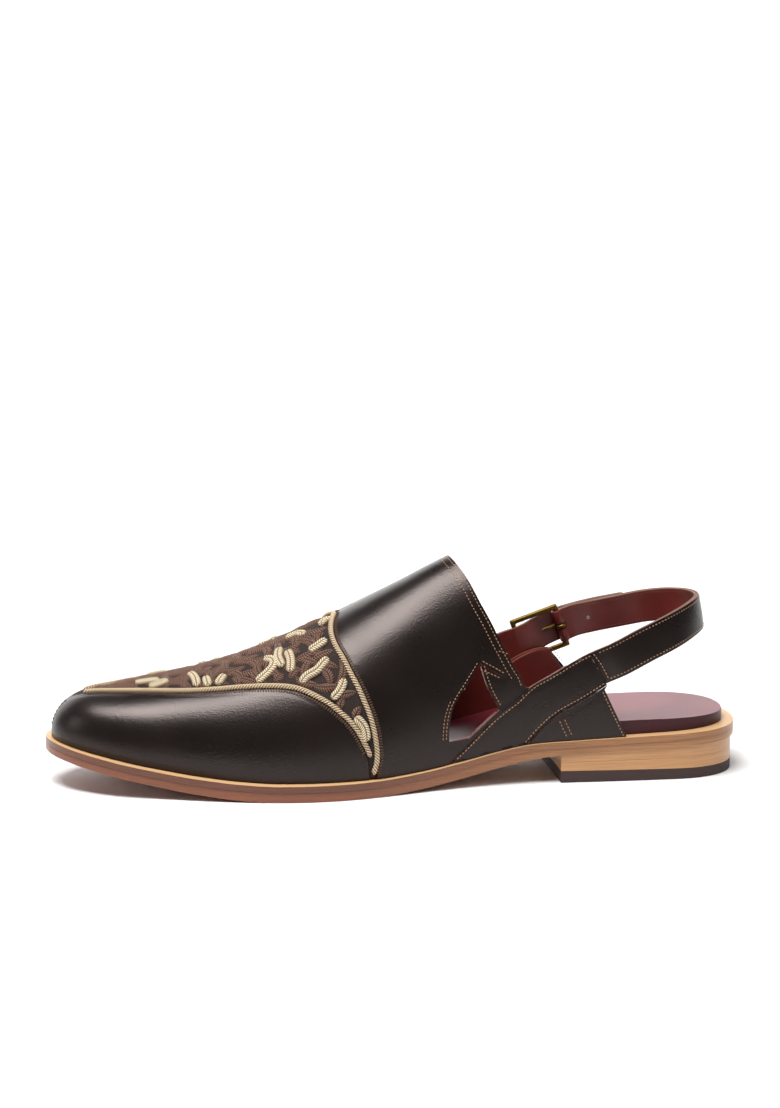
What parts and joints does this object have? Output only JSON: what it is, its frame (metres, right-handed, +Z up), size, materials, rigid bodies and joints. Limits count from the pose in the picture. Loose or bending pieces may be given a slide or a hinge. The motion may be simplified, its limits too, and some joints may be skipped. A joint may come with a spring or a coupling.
{
  "type": "peshawari chappal",
  "caption": "Closed-toe leather chappal with an embroidered vamp insert, a wide instep band, side cut-outs and a buckled heel strap on a low stacked heel.",
  "frame": {"origin": "On the floor under the middle of the sole, at the centre of the bounding box's base.", "axes": "+X points to the heel and -X to the toe, +Y to the medial side with the buckle, -Y to the lateral side, +Z up."},
  "size_m": [0.302, 0.0967, 0.0955],
  "materials": {
    "dark_leather": "polished smooth leather, very dark brown",
    "lining_leather": "satin red-brown lining leather",
    "insole_leather": "glossy burgundy leather",
    "embroidery": "brown cord ground with gold leaf embroidery",
    "gold_cord": "braided gold and cream cord",
    "welt_leather": "burnished edge, mid brown",
    "sole_leather": "burnished edge, tan",
    "heel_leather": "stacked heel leather, tan with fine lines",
    "heel_rubber": "matte dark brown rubber",
    "antique_brass": "antique brass, satin"
  },
  "bodies": {
    "root": {"welt": "welt_leather", "outsole": "sole_leather", "heel_top_piece": "heel_rubber", "heel_lift_lower": "heel_leather", "heel_lift_upper": "heel_leather", "insole": "insole_leather", "upper": "lining_leather", "wing_lateral": "dark_leather", "wing_medial": "dark_leather", "instep_band": "dark_leather", "quarter_strap_lateral": "dark_leather", "quarter_strap_medial": "dark_leather", "quarter_lateral": "dark_leather", "quarter_medial": "dark_leather", "piping_wing_lateral": "gold_cord", "piping_wing_medial": "gold_cord", "piping_band": "gold_cord", "vamp_panel": "embroidery", "buckle_frame": "antique_brass", "buckle_prong": "antique_brass", "sling_strap": "dark_leather", "buckle_tab": "dark_leather"}
  },
  "joints": []
}
